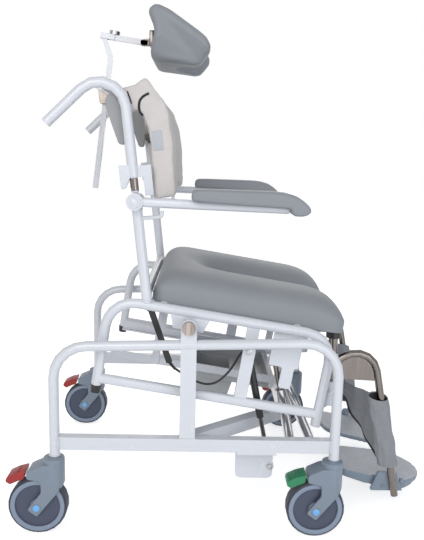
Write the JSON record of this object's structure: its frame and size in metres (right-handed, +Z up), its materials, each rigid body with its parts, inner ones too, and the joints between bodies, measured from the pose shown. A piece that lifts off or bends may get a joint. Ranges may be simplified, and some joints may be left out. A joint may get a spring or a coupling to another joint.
{
  "type": "tilting shower commode wheelchair",
  "caption": "Attendant-pushed shower and commode chair on braked casters, with a tilting tubular seat frame, padded open-front seat, headrest, flip-up armrests and swing-away footrests.",
  "frame": {"origin": "on the floor under the middle of the chair's bounding box", "axes": "+X points the way the chair faces, +Y to the sitter's left, +Z up"},
  "size_m": [0.9404, 0.6324, 1.1227],
  "materials": {
    "frame_paint": "glossy white powder coat",
    "caster_plastic": "satin blue-grey moulding",
    "wheel_disc": "dark slate moulding",
    "tyre": "dull solid tread",
    "pedal_red": "glossy",
    "pedal_green": "glossy",
    "pad_skin": "matt skinned foam",
    "black_plastic": "satin",
    "grey_plastic": "satin",
    "pan_plastic": "smooth moulding",
    "stainless": "polished stainless",
    "polished_cylinder": "polished",
    "cover_fabric": "pale padded mesh cloth",
    "strap_fabric": "coated cloth with black edging"
  },
  "bodies": {
    "base": {"base_side_right": "frame_paint", "base_side_left": "frame_paint", "base_cross_brace": "frame_paint"},
    "caster_rear_right": {"caster_rear_right_fork": "caster_plastic"},
    "caster_rear_left": {"caster_rear_left_fork": "caster_plastic"},
    "caster_front_right": {"caster_front_right_fork": "caster_plastic"},
    "caster_front_left": {"caster_front_left_fork": "caster_plastic"},
    "wheel_rear_right": {"caster_rear_right_tyre": "tyre", "caster_rear_right_wheel": "wheel_disc"},
    "wheel_rear_left": {"caster_rear_left_tyre": "tyre", "caster_rear_left_wheel": "wheel_disc"},
    "wheel_front_right": {"caster_front_right_tyre": "tyre", "caster_front_right_wheel": "wheel_disc"},
    "wheel_front_left": {"caster_front_left_tyre": "tyre", "caster_front_left_wheel": "wheel_disc"},
    "pedal_rear_right": {"caster_rear_right_pedal": "pedal_red"},
    "pedal_rear_left": {"caster_rear_left_pedal": "pedal_red"},
    "pedal_front_right": {"caster_front_right_pedal": "pedal_green"},
    "pedal_front_left": {"caster_front_left_pedal": "pedal_red"},
    "seat": {"seat_side_right": "frame_paint", "seat_side_left": "frame_paint", "seat_cross_frame": "frame_paint", "leg_plug_right": "black_plastic", "leg_plug_left": "black_plastic", "tilt_pin_right": "stainless", "tilt_pin_left": "stainless", "seat_pad": "pad_skin", "release_cable": "black_plastic", "back_frame": "frame_paint", "handle_frame": "frame_paint", "back_cover": "cover_fabric", "headrest_clamp": "frame_paint"},
    "pan": {"commode_pan": "pan_plastic"},
    "lever": {"release_lever": "black_plastic"},
    "gas_spring_lower": {"gas_spring_rod": "stainless"},
    "gas_spring_upper": {"gas_spring_body": "black_plastic"},
    "rear_support_lower": {"support_cylinder_rear": "polished_cylinder"},
    "rear_support_upper": {"support_rod_rear": "stainless"},
    "front_support_lower": {"support_cylinder_front": "polished_cylinder"},
    "front_support_upper": {"support_rod_front": "stainless"},
    "armrest_right": {"arm_tube_right": "frame_paint", "arm_pad_right": "pad_skin"},
    "armrest_left": {"arm_tube_left": "frame_paint", "arm_pad_left": "pad_skin"},
    "head_stem": {"headrest_stem": "frame_paint"},
    "head_arm": {"headrest_arm": "frame_paint"},
    "head_knob": {"headrest_knob": "grey_plastic"},
    "head_pad": {"headrest_pad": "pad_skin", "headrest_bracket": "black_plastic"},
    "leg_hanger_right": {"hanger_right": "stainless", "hanger_cap_right": "black_plastic", "footplate_bracket_right": "caster_plastic", "calf_strap": "strap_fabric"},
    "leg_hanger_left": {"hanger_left": "stainless", "hanger_cap_left": "black_plastic", "footplate_bracket_left": "caster_plastic", "strap_sleeve_left": "strap_fabric"},
    "foot_right": {"footplate_right": "grey_plastic"},
    "foot_left": {"footplate_left": "grey_plastic"}
  },
  "joints": [
    {"name": "seat_tilt", "type": "hinge", "parent": "base", "child": "seat", "pos_m": [-0.08405, 0, 0.4585], "axis": [0, -1, 0], "range_deg": [0, 30]},
    {"name": "gas_spring_swing", "type": "hinge", "parent": "base", "child": "gas_spring_lower", "pos_m": [0.09895, -0.22, 0.13], "axis": [0, -1, 0], "range_deg": [-5.2, 0.2]},
    {"name": "gas_spring_slide", "type": "slide", "parent": "gas_spring_lower", "child": "gas_spring_upper", "axis": [-0.2068, 0, 0.9784], "range_m": [0, 0.0695]},
    {"name": "rear_support_swing", "type": "hinge", "parent": "base", "child": "rear_support_lower", "pos_m": [0.14595, -0.207, 0.178], "axis": [0, -1, 0], "range_deg": [-7.9, 0.2]},
    {"name": "rear_support_slide", "type": "slide", "parent": "rear_support_lower", "child": "rear_support_upper", "axis": [-0.2153, 0, 0.9765], "range_m": [0, 0.102]},
    {"name": "front_support_swing", "type": "hinge", "parent": "base", "child": "front_support_lower", "pos_m": [0.19495, -0.183, 0.172], "axis": [0, -1, 0], "range_deg": [-18.8, 0.2]},
    {"name": "front_support_slide", "type": "slide", "parent": "front_support_lower", "child": "front_support_upper", "axis": [-0.4129, 0, 0.9108], "range_m": [0, 0.111]},
    {"name": "pan_slide", "type": "slide", "parent": "seat", "child": "pan", "axis": [-0.988, 0, 0.1547], "range_m": [0, 0.14]},
    {"name": "lever_pull", "type": "hinge", "parent": "seat", "child": "lever", "pos_m": [-0.16944, -0.222, 0.48199], "axis": [0, 1, 0], "range_deg": [0, 15], "stiffness_Nm_per_rad": 0.6},
    {"name": "armrest_right_flip", "type": "hinge", "parent": "seat", "child": "armrest_right", "pos_m": [-0.19796, -0.27, 0.71066], "axis": [0, -1, 0], "range_deg": [0, 95]},
    {"name": "armrest_left_flip", "type": "hinge", "parent": "seat", "child": "armrest_left", "pos_m": [-0.19796, 0.27, 0.71066], "axis": [0, -1, 0], "range_deg": [0, 95]},
    {"name": "headrest_height", "type": "slide", "parent": "seat", "child": "head_stem", "axis": [0.1253, 0, 0.9921], "range_m": [0, 0.12]},
    {"name": "headrest_reach", "type": "hinge", "parent": "head_stem", "child": "head_arm", "pos_m": [-0.2979, 0, 1.07369], "axis": [0, -1, 0], "range_deg": [-5, 20]},
    {"name": "headrest_knob_turn", "type": "hinge", "parent": "head_arm", "child": "head_knob", "pos_m": [-0.27413, 0, 1.07035], "axis": [0.1392, 0, 0.9903], "continuous": true},
    {"name": "headrest_tilt", "type": "hinge", "parent": "head_arm", "child": "head_pad", "pos_m": [-0.20778, 0, 1.06102], "axis": [0, -1, 0], "range_deg": [-8, 18]},
    {"name": "hanger_right_swing", "type": "hinge", "parent": "seat", "child": "leg_hanger_right", "pos_m": [0.23395, -0.2, 0.262], "axis": [0, 0, -1], "range_deg": [0, 60]},
    {"name": "hanger_left_swing", "type": "hinge", "parent": "seat", "child": "leg_hanger_left", "pos_m": [0.23395, 0.2, 0.262], "axis": [0, 0, 1], "range_deg": [0, 60]},
    {"name": "footplate_right_flip", "type": "hinge", "parent": "leg_hanger_right", "child": "foot_right", "pos_m": [0.38932, -0.1875, 0.075], "axis": [0.9848, 0, -0.1736], "range_deg": [0, 85], "deforming": ["calf_strap"]},
    {"name": "footplate_left_flip", "type": "hinge", "parent": "leg_hanger_left", "child": "foot_left", "pos_m": [0.38932, 0.1875, 0.075], "axis": [-0.9848, 0, 0.1736], "range_deg": [0, 85], "deforming": ["calf_strap"]},
    {"name": "caster_rear_right_swivel", "type": "hinge", "parent": "base", "child": "caster_rear_right", "pos_m": [-0.36405, -0.29, 0.17], "axis": [0, 0, 1], "continuous": true},
    {"name": "caster_rear_left_swivel", "type": "hinge", "parent": "base", "child": "caster_rear_left", "pos_m": [-0.36405, 0.29, 0.17], "axis": [0, 0, 1], "continuous": true},
    {"name": "caster_front_right_swivel", "type": "hinge", "parent": "base", "child": "caster_front_right", "pos_m": [0.22995, -0.29, 0.17], "axis": [0, 0, 1], "continuous": true},
    {"name": "caster_front_left_swivel", "type": "hinge", "parent": "base", "child": "caster_front_left", "pos_m": [0.22995, 0.29, 0.17], "axis": [0, 0, 1], "continuous": true},
    {"name": "wheel_rear_right_spin", "type": "hinge", "parent": "caster_rear_right", "child": "wheel_rear_right", "pos_m": [-0.40005, -0.29, 0.0625], "axis": [0, 1, 0], "continuous": true},
    {"name": "wheel_rear_left_spin", "type": "hinge", "parent": "caster_rear_left", "child": "wheel_rear_left", "pos_m": [-0.40005, 0.29, 0.0625], "axis": [0, 1, 0], "continuous": true},
    {"name": "wheel_front_right_spin", "type": "hinge", "parent": "caster_front_right", "child": "wheel_front_right", "pos_m": [0.19395, -0.29, 0.0625], "axis": [0, 1, 0], "continuous": true},
    {"name": "wheel_front_left_spin", "type": "hinge", "parent": "caster_front_left", "child": "wheel_front_left", "pos_m": [0.19395, 0.29, 0.0625], "axis": [0, 1, 0], "continuous": true},
    {"name": "pedal_rear_right_press", "type": "hinge", "parent": "caster_rear_right", "child": "pedal_rear_right", "pos_m": [-0.42868, -0.29, 0.136], "axis": [0, -1, 0], "range_deg": [0, 12]},
    {"name": "pedal_rear_left_press", "type": "hinge", "parent": "caster_rear_left", "child": "pedal_rear_left", "pos_m": [-0.42868, 0.29, 0.136], "axis": [0, -1, 0], "range_deg": [0, 12]},
    {"name": "pedal_front_right_press", "type": "hinge", "parent": "caster_front_right", "child": "pedal_front_right", "pos_m": [0.16532, -0.29, 0.136], "axis": [0, -1, 0], "range_deg": [0, 12]},
    {"name": "pedal_front_left_press", "type": "hinge", "parent": "caster_front_left", "child": "pedal_front_left", "pos_m": [0.16532, 0.29, 0.136], "axis": [0, -1, 0], "range_deg": [0, 12]}
  ],
  "couplings": [
    {"joint": "gas_spring_swing", "follows": "seat_tilt", "ratio": -0.16505},
    {"joint": "gas_spring_slide", "follows": "seat_tilt", "m_per_rad": 0.13115},
    {"joint": "rear_support_swing", "follows": "seat_tilt", "ratio": -0.25379},
    {"joint": "rear_support_slide", "follows": "seat_tilt", "m_per_rad": 0.19354},
    {"joint": "front_support_swing", "follows": "seat_tilt", "ratio": -0.61811},
    {"joint": "front_support_slide", "follows": "seat_tilt", "m_per_rad": 0.21108}
  ]
}
